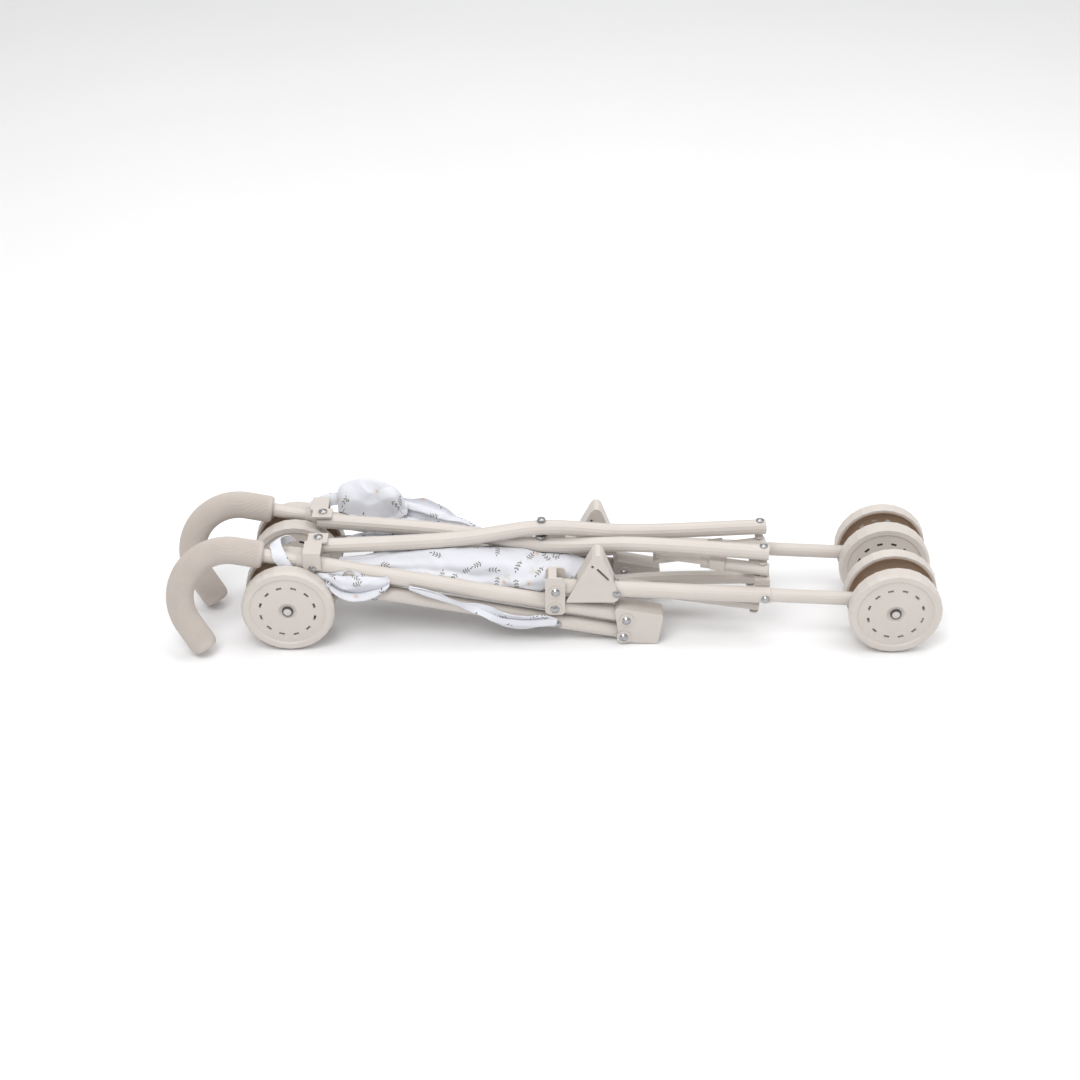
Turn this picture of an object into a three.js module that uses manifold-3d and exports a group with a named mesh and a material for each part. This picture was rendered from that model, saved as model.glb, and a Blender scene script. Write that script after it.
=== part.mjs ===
// Folding doll stroller (umbrella fold), lying folded on its wheels and knee housings.
// Units mm, +Z up. X runs from the push handles (-) to the rear wheels (+), Y across the width.
// The back of the opened stroller is the +Z side of the folded one.
import * as THREE from 'three';
import { mergeVertices, mergeGeometries } from 'three/addons/utils/BufferGeometryUtils.js';
import Module from 'manifold-3d';

const wasm = await Module();
wasm.setup();

// ---- driving dimensions ----
const GAP = 0.3;                    // running clearance between separate pieces
const SIDE_Y = 35;                  // side frames left and right of the middle plane
const PIN_Y = 19.5;                 // inboard line of the brace pins
const TUBE_R = 6.5;                 // push tube and rear leg
const LEG_R = 6.2;                  // front leg and back brace arms
const LOW_R = 5.6;                  // thin inserted tubes and lower brace arms
const BORE_R = LOW_R + GAP;
const PIN_R = 2.2;                  // rivets and brace pins
const HOLE_R = PIN_R + GAP;
const SCREW_R = 1.6;

// side view points, [x, z]
const REAR_PIVOT = [2, 50];         // rear leg turns here on the push tube
const PLATE_RIVET = [1.4, 34];      // holds the pivot plate on the push tube
const KNEE_TOP = [59.2, 23];        // push tube end in the knee housing
const KNEE_LOW = [57.4, 6.7];       // front leg turns here
const PUSH_SLOPE = -0.1895;
const LEG_SLOPE = -0.187;
const PUSH_TOP_X = -205;
const GRIP_X = -233.2;
const CLIP_X = -192;                // clip screw on the push tube
const ARM_PIN = [-188.5, 77];       // back brace pin on that clip
const LEG_END = [170.4, 42.25];        // rivet at the lower end of the rear leg
const STACK_X = 168.8;              // pin that carries the lock bar
const ARM_END_Z = 73;
const LOCK_Z = 57;
const LOW_PIN = [164, 24];          // lower brace pin under the rear leg
const FRONT_CLIP_X = -143.6;        // clip on the front leg
const FRONT_LEG_TOP_X = -158;
const REAR_AXLE = [273.6, 37.5];
const FRONT_AXLE = [-212.4, 37.5];

const WHEEL_R = 37.5;
const WHEEL_GAP = 8.8;              // half the gap between the two discs of a wheel
const DISC_T = 12;
const AXLE_R = 2.3;
const SLOTS = 12;
const SLOT_R = 22.2;

const GRIP_R = 10.9;
const GRIP_RIBS = 16;
const GRIP_LEAD = 20;               // straight start of the grip before its bend
const HOOK_R = 39;
const HOOK_TURN = 133;
const HOOK_TIP = 21;
const HOOK_LEAN = 18;             // both grips are twisted the same way on their tubes

const LOCK_HALF = 84.5;             // pin to middle hinge
const RIVET_HEAD_R = 3.7;

const pushZ = (x) => KNEE_TOP[1] + PUSH_SLOPE * (x - KNEE_TOP[0]);
const legZ = (x) => KNEE_LOW[1] + LEG_SLOPE * (x - KNEE_LOW[0]);
const rearZ = (x) => REAR_PIVOT[1]
  + (LEG_END[1] - REAR_PIVOT[1]) / (LEG_END[0] - REAR_PIVOT[0]) * (x - REAR_PIVOT[0]);

// ---- materials ----
const LOOKS = {
  tube: [0xcdbfb2, 0.42, 0.15],
  plastic: [0xd2c2b3, 0.5, 0],
  grip: [0xc4b5a6, 0.75, 0],
  chrome: [0xd8d8da, 0.22, 0.9],
  cloth: [0xf1f0f2, 0.95, 0],
};

const out = new THREE.Group();
out.name = 'doll_stroller';
function add(name, geometry, look) {
  const [color, roughness, metalness] = LOOKS[look];
  const mesh = new THREE.Mesh(geometry, new THREE.MeshStandardMaterial({ color, roughness, metalness }));
  mesh.name = name;
  out.add(mesh);
}

// ---- solids ----
const clean = (g) => {
  const bare = g.clone();
  bare.deleteAttribute('uv');
  bare.deleteAttribute('normal');
  return mergeVertices(bare, 1e-4);
};
function toSolid(g) {
  const m = clean(g);
  return new wasm.Manifold(new wasm.Mesh({
    numProp: 3,
    vertProperties: new Float32Array(m.attributes.position.array),
    triVerts: new Uint32Array(m.index.array),
  }));
}
function toGeometry(solid) {
  const m = solid.getMesh();
  const g = new THREE.BufferGeometry();
  const xyz = new Float32Array(m.numVert * 3);
  for (let i = 0; i < m.numVert; i++) {
    for (let k = 0; k < 3; k++) xyz[3 * i + k] = m.vertProperties[m.numProp * i + k];
  }
  g.setAttribute('position', new THREE.BufferAttribute(xyz, 3));
  g.setIndex(new THREE.BufferAttribute(new Uint32Array(m.triVerts), 1));
  return g;
}
const join = (...parts) => toGeometry(parts.map(toSolid).reduce((a, b) => a.add(b)));
const cut = (body, ...tools) => toGeometry(tools.map(toSolid).reduce((a, b) => a.subtract(b), toSolid(body)));

const box = (x0, x1, y0, y1, z0, z1) => new THREE.BoxGeometry(x1 - x0, y1 - y0, z1 - z0)
  .translate((x0 + x1) / 2, (y0 + y1) / 2, (z0 + z1) / 2);

// a turned solid whose axis runs from p towards q; profile is [radius, distance from p]
function turned(p, q, profile, segments = 16) {
  const g = new THREE.LatheGeometry(profile.map(([r, t]) => new THREE.Vector2(r, t)), segments);
  const dir = new THREE.Vector3().subVectors(q, p).normalize();
  g.applyQuaternion(new THREE.Quaternion().setFromUnitVectors(new THREE.Vector3(0, 1, 0), dir));
  return g.translate(p.x, p.y, p.z);
}
const V = (x, y, z) => new THREE.Vector3(x, y, z);
const rod = (p, q, r, segments = 16) => {
  const l = p.distanceTo(q);
  return turned(p, q, [[0, 0], [r, 0], [r, l], [0, l]], segments);
};
// tube end with a small bevel at p, and a blind bore of the given depth at p
function boredTube(p, q, r, bore, depth, segments = 18) {
  const l = p.distanceTo(q);
  return turned(p, q, [[0, depth], [bore, depth], [bore, 0], [r - 0.5, 0], [r, 0.6], [r, l], [0, l]], segments);
}
const alongY = (x, z, y0, y1, r, segments = 10) => rod(V(x, y0, z), V(x, y1, z), r, segments);
const alongZ = (x, y, z0, z1, r, segments = 10) => rod(V(x, y, z0), V(x, y, z1), r, segments);

function sweep(points, r, steps, segments = 14, ribs = 0) {
  const shape = new THREE.Shape();
  const n = ribs ? ribs * 2 : segments;
  for (let i = 0; i <= n; i++) {
    const a = (2 * Math.PI * i) / n;
    const rr = ribs && i % 2 ? r - 0.55 : r;
    if (i === 0) shape.moveTo(rr, 0);
    else if (i < n) shape.lineTo(rr * Math.cos(a), rr * Math.sin(a));
  }
  shape.closePath();
  const curve = new THREE.CatmullRomCurve3(points, false, 'centripetal');
  return new THREE.ExtrudeGeometry(shape, { steps, bevelEnabled: false, extrudePath: curve });
}
// plate drawn in the side view, between y0 and y1
function plate(outline, y0, y1, holes = []) {
  const shape = new THREE.Shape(outline.map(([x, z]) => new THREE.Vector2(x, z)));
  for (const h of holes) shape.holes.push(new THREE.Path(h.map(([x, z]) => new THREE.Vector2(x, z))));
  const g = new THREE.ExtrudeGeometry(shape, { depth: y1 - y0, bevelEnabled: false, steps: 1 });
  return g.rotateX(Math.PI / 2).translate(0, y1, 0);
}
// outline with each corner rounded by its own radius
function rounded(corners, steps = 3) {
  const pts = [];
  corners.forEach(([x, z, r], i) => {
    const [ax, az] = corners[(i + corners.length - 1) % corners.length];
    const [bx, bz] = corners[(i + 1) % corners.length];
    if (!r) { pts.push([x, z]); return; }
    const here = new THREE.Vector2(x, z);
    const u = new THREE.Vector2(ax - x, az - z).normalize();
    const v = new THREE.Vector2(bx - x, bz - z).normalize();
    const half = Math.acos(u.dot(v)) / 2;
    const t = r / Math.tan(half);
    const from = here.clone().addScaledVector(u, t);
    const to = here.clone().addScaledVector(v, t);
    const mid = here.clone().addScaledVector(u.clone().add(v).normalize(), r / Math.sin(half));
    const a0 = Math.atan2(from.y - mid.y, from.x - mid.x);
    let turn = Math.atan2(to.y - mid.y, to.x - mid.x) - a0;
    turn = Math.atan2(Math.sin(turn), Math.cos(turn));
    for (let k = 0; k <= steps; k++) {
      const a = a0 + (turn * k) / steps;
      pts.push([mid.x + r * Math.cos(a), mid.y + r * Math.sin(a)]);
    }
  });
  return pts;
}
const ring = (x, z, r, n = 12) => Array.from({ length: n }, (_, i) => [
  x + r * Math.cos((2 * Math.PI * i) / n), z + r * Math.sin((2 * Math.PI * i) / n)]);

// soft closed body through elliptical stations [x, y, z, half width y, half height z]
function softBody(stations, around = 12) {
  const xyz = [];
  const index = [];
  for (const [x, y, z, ry, rz] of stations) {
    for (let i = 0; i < around; i++) {
      const a = (2 * Math.PI * i) / around;
      xyz.push(x, y + ry * Math.cos(a), z + rz * Math.sin(a));
    }
  }
  const rows = stations.length;
  for (let j = 0; j < rows - 1; j++) {
    for (let i = 0; i < around; i++) {
      const a = j * around + i;
      const b = j * around + ((i + 1) % around);
      index.push(a, b, a + around, b, b + around, a + around);
    }
  }
  const first = xyz.length / 3;
  xyz.push(stations[0][0] - 1.5, stations[0][1], stations[0][2]);
  xyz.push(stations[rows - 1][0] + 1.5, stations[rows - 1][1], stations[rows - 1][2]);
  for (let i = 0; i < around; i++) {
    const j = (i + 1) % around;
    index.push(first, j, i, first + 1, (rows - 1) * around + i, (rows - 1) * around + j);
  }
  const g = new THREE.BufferGeometry();
  g.setAttribute('position', new THREE.Float32BufferAttribute(xyz, 3));
  g.setIndex(index);
  return g;
}

// rivet lying along Y through a plate pair, domed at both ends
function rivet(x, z, y, half) {
  const l = 2 * half;
  const h = 1.9;
  return turned(V(x, y - half - h, z), V(x, y + half + h, z), [
    [0, 0], [RIVET_HEAD_R * 0.6, 0.35], [RIVET_HEAD_R, h - GAP], [PIN_R, h - GAP],
    [PIN_R, l + h + GAP], [RIVET_HEAD_R, l + h + GAP], [RIVET_HEAD_R * 0.6, l + 2 * h - 0.35], [0, l + 2 * h],
  ], 12);
}

// ---- one wheel disc: closed face towards `out`, open dish towards the leg ----
function disc(axle, y0, out, slotted) {
  const p = V(axle[0], y0, axle[1]);
  const q = V(axle[0], y0 + out, axle[1]);
  const bore = AXLE_R + GAP;
  const body = turned(p, q, [
    [bore, 0], [6, 0], [6, 8], [30, 8], [34.2, 5.4], [34.2, 0], [36.8, 0], [WHEEL_R, 9.6], [35.4, DISC_T],
    [31.2, DISC_T], [30, 10.8], [8, 12.2], [5.6, 10.6], [bore, 10.6], [bore, 0],
  ], 26);
  if (!slotted) return body;
  const slots = Array.from({ length: SLOTS }, (_, i) => {
    const a = (360 / SLOTS) * (i + 0.5) * THREE.MathUtils.DEG2RAD;
    return new THREE.BoxGeometry(1.9, 2 * DISC_T, 4.6).translate(SLOT_R, 0, 0).rotateY(a)
      .translate(axle[0], y0 + out * DISC_T * 0.8, axle[1]);
  });
  return cut(body, mergeGeometries(slots.map((s) => clean(s))));
}
function axle(at, y) {
  const half = WHEEL_GAP + 10.6 + GAP;
  const cap = 2.4;
  const l = 2 * half;
  return turned(V(at[0], y - half - cap, at[1]), V(at[0], y + half + cap, at[1]), [
    [0, 0], [4.4, 1.2], [4.8, cap], [AXLE_R, cap], [AXLE_R, l + cap], [4.8, l + cap],
    [4.4, l + 2 * cap - 1.2], [0, l + 2 * cap],
  ], 12);
}
function wheel(name, at, y) {
  add(`${name}_disc_outer`, disc(at, y + Math.sign(y) * WHEEL_GAP, Math.sign(y), true), 'plastic');
  add(`${name}_disc_inner`, disc(at, y - Math.sign(y) * WHEEL_GAP, -Math.sign(y), false), 'plastic');
  add(`${name}_axle`, axle(at, y), 'chrome');
}

// inboard bracket arm: a cheek beside a side tube and a shelf that carries an upright pin
function bracket({ s, hub, cheek, thick, shelf, pin, pinZ, back = 7, front = 7, hole }) {
  const ys = (a, b) => [Math.min(s * a, s * b), Math.max(s * a, s * b)];
  const cheekZ = [Math.min(hub[1] - 5.5, shelf[0]), Math.max(hub[1] + 5.5, shelf[1])];
  const parts = [
    box(hub[0] - back, hub[0] + front, ...ys(cheek, cheek - thick), ...cheekZ),
    box(pin - 6, Math.max(hub[0] + front, pin + 6), ...ys(cheek - thick / 2, PIN_Y - 6.5), ...shelf),
    alongZ(pin, s * PIN_Y, pinZ[0], pinZ[1], PIN_R),
    alongZ(pin, s * PIN_Y,
      ...(pinZ[0] < shelf[0] ? [pinZ[0] - 1, pinZ[0] + 0.2] : [pinZ[1] - 0.2, pinZ[1] + 1]), RIVET_HEAD_R),
  ];
  const solid = join(...parts);
  return hole ? cut(solid, alongY(hub[0], hub[1], s * (cheek + 2), s * (cheek - 4), hole)) : solid;
}

// ---- one side of the stroller; s = -1 left, +1 right ----
function side(s, tag) {
  const y = s * SIDE_Y;
  const across = (a, b) => [Math.min(y + s * a, y + s * b), Math.max(y + s * a, y + s * b)];
  const clipHub = [CLIP_X, pushZ(CLIP_X)];

  // push tube, with the thinner handle tube pushed into its upper end
  const tubeTop = V(PUSH_TOP_X, y, pushZ(PUSH_TOP_X));
  const tubeLow = V(KNEE_TOP[0] + 8, y, pushZ(KNEE_TOP[0] + 8));
  add(`push_tube_${tag}`, cut(
    boredTube(tubeTop, tubeLow, TUBE_R, BORE_R, 46),
    alongY(...clipHub, y - 9, y + 9, SCREW_R + GAP),
    alongY(...PLATE_RIVET, y - 9, y + 9, HOLE_R),
    alongY(...KNEE_TOP, y - 9, y + 9, HOLE_R),
  ), 'tube');
  const handleLow = V(PUSH_TOP_X + 40, y, pushZ(PUSH_TOP_X + 40));
  const handleTop = V(GRIP_X - 22, y, pushZ(GRIP_X - 22));
  add(`handle_tube_${tag}`, cut(rod(handleTop, handleLow, LOW_R),
    alongY(...clipHub, y - 9, y + 9, SCREW_R + GAP)), 'tube');

  // ribbed grip: straight on the tube, round the hook, short straight tip
  const start = V(GRIP_X, y, pushZ(GRIP_X));
  const axis = V(-1, 0, -PUSH_SLOPE).normalize();
  const down = V(-axis.z, 0, axis.x).applyAxisAngle(axis, HOOK_LEAN * THREE.MathUtils.DEG2RAD);
  const bendFrom = start.clone().addScaledVector(axis, GRIP_LEAD);
  const centre = bendFrom.clone().addScaledVector(down, HOOK_R);
  const onHook = (deg) => {
    const a = deg * THREE.MathUtils.DEG2RAD;
    return centre.clone().addScaledVector(down, -HOOK_R * Math.cos(a))
      .addScaledVector(axis, HOOK_R * Math.sin(a));
  };
  const bend = Array.from({ length: 13 }, (_, i) => onHook((HOOK_TURN * i) / 12));
  const heading = HOOK_TURN * THREE.MathUtils.DEG2RAD;
  const tipDir = axis.clone().multiplyScalar(Math.cos(heading)).addScaledVector(down, Math.sin(heading));
  const tip = bend[12].clone().addScaledVector(tipDir, HOOK_TIP);
  const line = [start, start.clone().lerp(bendFrom, 0.5), ...bend, bend[12].clone().lerp(tip, 0.5), tip];
  const cap = turned(tip.clone().addScaledVector(tipDir, -1), tip.clone().addScaledVector(tipDir, 4), [
    [0, 0], [GRIP_R - 0.6, 0], [GRIP_R - 0.8, 2], [GRIP_R - 3, 4.4], [0, 5.2]], 16);
  const neck = turned(start.clone().addScaledVector(axis, -1.6), bendFrom, [
    [0, 0], [GRIP_R - 1.6, 0], [GRIP_R - 0.4, 1.8], [GRIP_R - 0.6, 3], [0, 3]], 16);
  const bore = rod(start.clone().addScaledVector(axis, -4), start.clone().addScaledVector(axis, 24), BORE_R);
  add(`grip_${tag}`, cut(join(sweep(line, GRIP_R, 15, 0, GRIP_RIBS), cap, neck), bore), 'grip');

  // pivot plate pair: saddle open downwards over the rear leg's end and the push tube
  const cheek = rounded([[-6.4, 28, 4], [9.6, 28, 4], [9.6, 62.7, 4], [-6.4, 62.7, 4]]);
  const bosses = [REAR_PIVOT, PLATE_RIVET].flatMap(([x, z]) => [-1, 1].map((d) => alongY(
    x, z, y + d * 9.2 - 0.6, y + d * 9.2 + 0.6, 5.6, 14)));
  add(`pivot_plate_${tag}`, cut(join(
    plate(cheek, ...across(6.9, 9)), plate(cheek, ...across(-9, -6.9)),
    box(-4, 2.6, y - 8, y + 8, 60.6, 62.7), ...bosses, alongY(...PLATE_RIVET, y - 10.6, y + 10.6, PIN_R)),
  alongY(...REAR_PIVOT, y - 12, y + 12, HOLE_R)), 'plastic');
  add(`rear_pivot_rivet_${tag}`, rivet(...REAR_PIVOT, y, 9.8), 'chrome');

  // knee housing: closed on top and at the end, open below so the front leg can swing down
  const shell = rounded([[49.2, 35, 3], [54.2, 1.2, 4], [85.2, 0, 2], [89, 27.2, 2]]);
  const hollow = [[40, 33.6], [40, -4], [82, -4], [85.9, 25.4]];
  const knee = cut(join(plate(shell, y - 8.6, y + 8.6),
    ...[KNEE_TOP, KNEE_LOW].flatMap(([x, z]) => [-1, 1].map(
      (d) => alongY(x, z, y + d * 8, y + d * 9.8, 5.8, 14)))),
  plate(hollow, y - 6.9, y + 6.9), box(75, 95, y - 6.9, y + 6.9, -4, 11),
  ...[KNEE_TOP, KNEE_LOW].map(([x, z]) => alongY(x, z, y - 12, y + 12, HOLE_R)));
  add(`knee_housing_${tag}`, knee, 'plastic');
  add(`knee_rivet_${tag}`, rivet(...KNEE_TOP, y, 9.8), 'chrome');
  add(`front_pivot_rivet_${tag}`, rivet(...KNEE_LOW, y, 9.8), 'chrome');

  // rear leg, its thin lower tube and its wheel
  const legTop = V(REAR_PIVOT[0] - 5, y, rearZ(REAR_PIVOT[0] - 5));
  const legLow = V(LEG_END[0] + 4.4, y, rearZ(LEG_END[0] + 4.4));
  add(`rear_leg_${tag}`, cut(boredTube(legLow, legTop, TUBE_R, BORE_R, 40),
    alongY(...REAR_PIVOT, y - 9, y + 9, HOLE_R), alongY(...LEG_END, y - 9, y + 9, SCREW_R + GAP),
    alongY(50.8, rearZ(50.8), y - 9, y + 9, SCREW_R + GAP)), 'tube');
  const stubTop = V(LEG_END[0] - 32, y, rearZ(LEG_END[0] - 32));
  add(`rear_stub_${tag}`, cut(join(rod(stubTop, V(REAR_AXLE[0], y, REAR_AXLE[1] + 0.01), LOW_R),
    alongY(...REAR_AXLE, y - 7.4, y + 7.4, 6.6, 14)),
  alongY(...REAR_AXLE, y - 9, y + 9, AXLE_R + GAP), alongY(...LEG_END, y - 9, y + 9, SCREW_R + GAP)), 'tube');
  wheel(`rear_wheel_${tag}`, REAR_AXLE, y);

  // rivet through the rear leg's end, carrying both brackets
  add(`leg_rivet_${tag}`, turned(V(LEG_END[0], y + s * 8.6, LEG_END[1]), V(LEG_END[0], 0, LEG_END[1]), [
    [0, 0], [2.4, 0.2], [3.4, 1.1], [3.4, 1.7], [SCREW_R, 1.7],
    [SCREW_R, 18.1], [2.6, 18.1], [2.6, 18.9], [0, 18.9],
  ], 14), 'chrome');
  add(`stack_bracket_${tag}`, bracket({ s, hub: LEG_END, cheek: 26.8, thick: 0.9, shelf: [49.4, 51],
    pin: STACK_X, pinZ: [50, 63.4], hole: SCREW_R + GAP, back: 8, front: 4.4 }), 'tube');
  add(`low_bracket_${tag}`, bracket({ s, hub: LEG_END, cheek: 28.1, thick: 1, shelf: [30.8, 32.2],
    pin: LOW_PIN[0], pinZ: [17.4, 31], hole: SCREW_R + GAP, back: 8, front: 4.4 }), 'tube');

  // triangular lock housing screwed over the rear leg
  const slot = rounded([[35.4, 72.2, 0.9], [33.9, 70.8, 0.9], [43.7, 60, 0.9], [45.2, 61.4, 0.9]], 2);
  const latch = plate(rounded([[10, 39.5, 1], [55.4, 39.8, 5.4], [35.6, 91.5, 4.6]]), y - 8.3, y + 8.3,
    [ring(31.2, 73.4, 1.3, 10), slot]);
  add(`lock_housing_${tag}`, join(cut(latch, box(0, 70, y - 6.9, y + 6.9, 30, 58)),
    alongY(50.8, rearZ(50.8), y - 8.2, y + 8.2, SCREW_R)), 'plastic');

  // front leg, its bent thin tube and its wheel
  const frontTop = V(FRONT_LEG_TOP_X, y, legZ(FRONT_LEG_TOP_X));
  const frontLow = V(KNEE_LOW[0] + 5, y, legZ(KNEE_LOW[0] + 5));
  const frontHub = [FRONT_CLIP_X, legZ(FRONT_CLIP_X)];
  add(`front_leg_${tag}`, cut(boredTube(frontTop, frontLow, LEG_R, 5.1, 34),
    alongY(...KNEE_LOW, y - 9, y + 9, HOLE_R), alongY(...frontHub, y - 9, y + 9, SCREW_R + GAP)), 'tube');
  const bent = [V(-128, y, legZ(-128)), V(-143, y, legZ(-143)), V(-160, y, legZ(-160)),
    V(-172, y, legZ(-172) - 1.5), V(-186, y, 45), V(-200, y, 39.5), V(-210, y, 37.6)];
  add(`front_stub_${tag}`, cut(join(sweep(bent, 4.8, 10, 10), alongY(...FRONT_AXLE, y - 7.4, y + 7.4, 6.6, 14)),
    alongY(...FRONT_AXLE, y - 9, y + 9, AXLE_R + GAP),
    alongY(...frontHub, y - 9, y + 9, SCREW_R + GAP)), 'tube');
  wheel(`front_wheel_${tag}`, FRONT_AXLE, y);

  // clip on the front leg for the lower brace
  const ys = (a, b) => [Math.min(s * a, s * b), Math.max(s * a, s * b)];
  add(`front_clip_${tag}`, join(
    box(frontHub[0] - 6, frontHub[0] + 6, ...ys(27.2, 28.2), frontHub[1] - 8.4, frontHub[1] + 4),
    box(frontHub[0] - 6, frontHub[0] + 6, ...ys(28, 13.4), frontHub[1] - 8.4, frontHub[1] - 7),
    alongY(...frontHub, s * 27.6, s * 42.6, SCREW_R), alongY(...frontHub, s * 42, s * 43.4, 3.4),
  ), 'tube');

  // clip on the push tube for the back brace: saddle with the pin of the arm
  add(`push_clip_${tag}`, join(
    box(CLIP_X - 7, CLIP_X + 7, ...ys(27.2, 28.2), clipHub[1] - 4.5, 84.6),
    box(CLIP_X - 7, CLIP_X + 7, ...ys(42.1, 43.4), clipHub[1] - 1.2, 84.6),
    box(CLIP_X - 7, CLIP_X + 7, ...ys(43.4, 24), 83.4, 85),
    box(CLIP_X - 5, CLIP_X + 11, ...ys(26, 12.4), 83.4, 85),
    alongY(...clipHub, s * 27.6, s * 42.6, SCREW_R), alongY(...clipHub, s * 42.6, s * 43.6, 3),
    alongZ(ARM_PIN[0], s * PIN_Y, 69.4, 84, PIN_R), alongZ(ARM_PIN[0], s * PIN_Y, 84.8, 86.2, RIVET_HEAD_R),
  ), 'tube');
}

// ---- back brace: the left clip's arm passes over, the right clip's arm under ----
function backArm(s, tag) {
  const over = s < 0;
  const l = STACK_X - ARM_PIN[0];
  const rise = over ? 8.6 : -8;
  const at = (x) => {
    const t = (x - ARM_PIN[0]) / l;
    const base = ARM_PIN[1] + (ARM_END_Z - ARM_PIN[1]) * t;
    const bump = Math.exp(-(((t - 0.5) / (over ? 0.135 : 0.15)) ** 2));
    return V(x, s * PIN_Y * (1 - 2 * t), base + rise * bump);
  };
  const xs = [ARM_PIN[0] - 4.2];
  for (let i = 1; i < 20; i++) xs.push(ARM_PIN[0] + (l * i) / 20);
  xs.push(STACK_X + 4.6);
  const body = sweep(xs.map(at), LEG_R, 22, 14);
  const hole = alongZ(ARM_PIN[0], s * PIN_Y, 60, 84, HOLE_R);
  return over ? cut(body, hole, alongZ((ARM_PIN[0] + STACK_X) / 2, 0, 60, 100, HOLE_R)) : cut(body, hole);
}
// ---- lower brace arms: rear leg bracket to the other side's front leg ----
function lowArm(s) {
  const far = [FRONT_CLIP_X, legZ(FRONT_CLIP_X)];
  const l = far[0] - LOW_PIN[0];
  const at = (x) => {
    const t = (x - LOW_PIN[0]) / l;
    const bump = Math.exp(-(((t - 0.5) / 0.16) ** 2));
    return V(x, s * PIN_Y * (1 - 2 * t), LOW_PIN[1] + (far[1] - LOW_PIN[1]) * t - s * 6.6 * bump);
  };
  const xs = [LOW_PIN[0] + 4];
  for (let i = 1; i < 18; i++) xs.push(LOW_PIN[0] + (l * i) / 18);
  xs.push(far[0] - 4);
  return cut(sweep(xs.map(at), LOW_R, 16, 10), alongZ(LOW_PIN[0], s * PIN_Y, 10, 40, HOLE_R));
}
// ---- rear lock bar half: tube at the pin, flat tongue at the middle hinge ----
function lockHalf(s) {
  const a = Math.asin(PIN_Y / LOCK_HALF);
  const z0 = s < 0 ? LOCK_Z + 0.25 : LOCK_Z - 4.25;
  const parts = [
    rod(V(5, 0, LOCK_Z), V(-50, 0, LOCK_Z), 5.2, 16),
    box(-LOCK_HALF, -44, -5.4, 5.4, z0, z0 + 4), alongZ(-LOCK_HALF, 0, z0, z0 + 4, 5.4, 16),
    box(-42, -30, -6.2, 6.2, LOCK_Z - 3, LOCK_Z + 5.9),
  ];
  const g = cut(join(...parts), alongZ(0, 0, 45, 70, HOLE_R));
  return g.rotateZ(s * a).translate(STACK_X, s * PIN_Y, 0);
}

side(-1, 'left');
side(1, 'right');
add('back_arm_left', backArm(-1), 'tube');
add('back_arm_right', backArm(1), 'tube');
const crossX = (ARM_PIN[0] + STACK_X) / 2;
const crossZ = (ARM_PIN[1] + ARM_END_Z) / 2 + 8.6;
add('cross_rivet', turned(V(crossX, 0, crossZ - 8.4), V(crossX, 0, 200), [
  [0, 0], [5, 0], [5, 1.9], [PIN_R, 1.9], [PIN_R, 15.2], [3.7, 15.2], [3.2, 16.6], [0, 17.2]], 16), 'chrome');
add('low_arm_left', lowArm(-1), 'tube');
add('low_arm_right', lowArm(1), 'tube');
add('lock_bar_left', lockHalf(-1), 'tube');
add('lock_bar_right', lockHalf(1), 'tube');

// ---- folded cloth, as plain soft bodies clear of the frame ----
add('seat_cloth', softBody([[-158, -4, 60, 8, 4], [-125, -6, 58, 13, 7.2], [-75, -8, 56, 16, 8],
  [-30, -9, 53.5, 15, 5.6], [5, -11, 52.6, 12, 4.2], [20, -12, 52, 7, 3]]), 'cloth');
add('front_cloth', softBody([[-174, 0, 48, 6, 5], [-160, 0, 45, 9, 8.5], [-140, 0, 42, 8, 5]]), 'cloth');
add('side_cloth', softBody([[-116, -45.1, 49, 1.1, 3], [-80, -45.1, 42, 1.2, 5], [-40, -45.1, 34, 1.2, 5.6],
  [-12, -45.1, 28, 1.1, 3.6]]), 'cloth');
add('back_cloth', softBody([[-170, 38, 84, 7, 7], [-150, 40, 89, 11, 14], [-125, 41, 88, 14, 15],
  [-100, 39, 80, 12, 12], [-72, 36, 69, 7, 6]]), 'cloth');

// origin at the bottom centre of the whole
const bounds = new THREE.Box3().setFromObject(out);
const shift = bounds.getCenter(V(0, 0, 0)).negate();
shift.z = -bounds.min.z;
out.children.forEach((m) => m.geometry.translate(shift.x, shift.y, shift.z));

export default out;
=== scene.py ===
# Folded doll stroller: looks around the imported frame.
import bpy
import math
from mathutils import Matrix, Vector, noise
from mathutils.bvhtree import BVHTree


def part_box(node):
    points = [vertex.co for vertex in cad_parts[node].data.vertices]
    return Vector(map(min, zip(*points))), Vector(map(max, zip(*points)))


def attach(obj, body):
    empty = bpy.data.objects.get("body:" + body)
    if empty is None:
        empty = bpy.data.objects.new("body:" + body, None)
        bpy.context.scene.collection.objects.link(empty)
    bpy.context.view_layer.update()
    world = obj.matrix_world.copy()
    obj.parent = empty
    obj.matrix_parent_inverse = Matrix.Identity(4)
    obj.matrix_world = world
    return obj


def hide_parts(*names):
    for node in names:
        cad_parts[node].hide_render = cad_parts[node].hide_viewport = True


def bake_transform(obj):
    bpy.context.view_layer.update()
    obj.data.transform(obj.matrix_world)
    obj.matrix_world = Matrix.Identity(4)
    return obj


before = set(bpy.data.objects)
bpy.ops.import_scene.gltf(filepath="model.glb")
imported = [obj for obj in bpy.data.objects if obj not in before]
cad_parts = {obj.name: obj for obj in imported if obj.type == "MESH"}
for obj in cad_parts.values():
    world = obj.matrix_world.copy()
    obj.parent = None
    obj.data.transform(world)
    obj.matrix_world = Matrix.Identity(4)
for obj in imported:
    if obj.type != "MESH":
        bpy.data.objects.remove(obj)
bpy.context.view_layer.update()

# ---------------------------------------------------------------- place
# part.mjs draws in mm about the middle of the frame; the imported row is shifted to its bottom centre.
lo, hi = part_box("rear_wheel_left_axle")
lo_r, hi_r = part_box("rear_wheel_right_axle")
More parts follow.
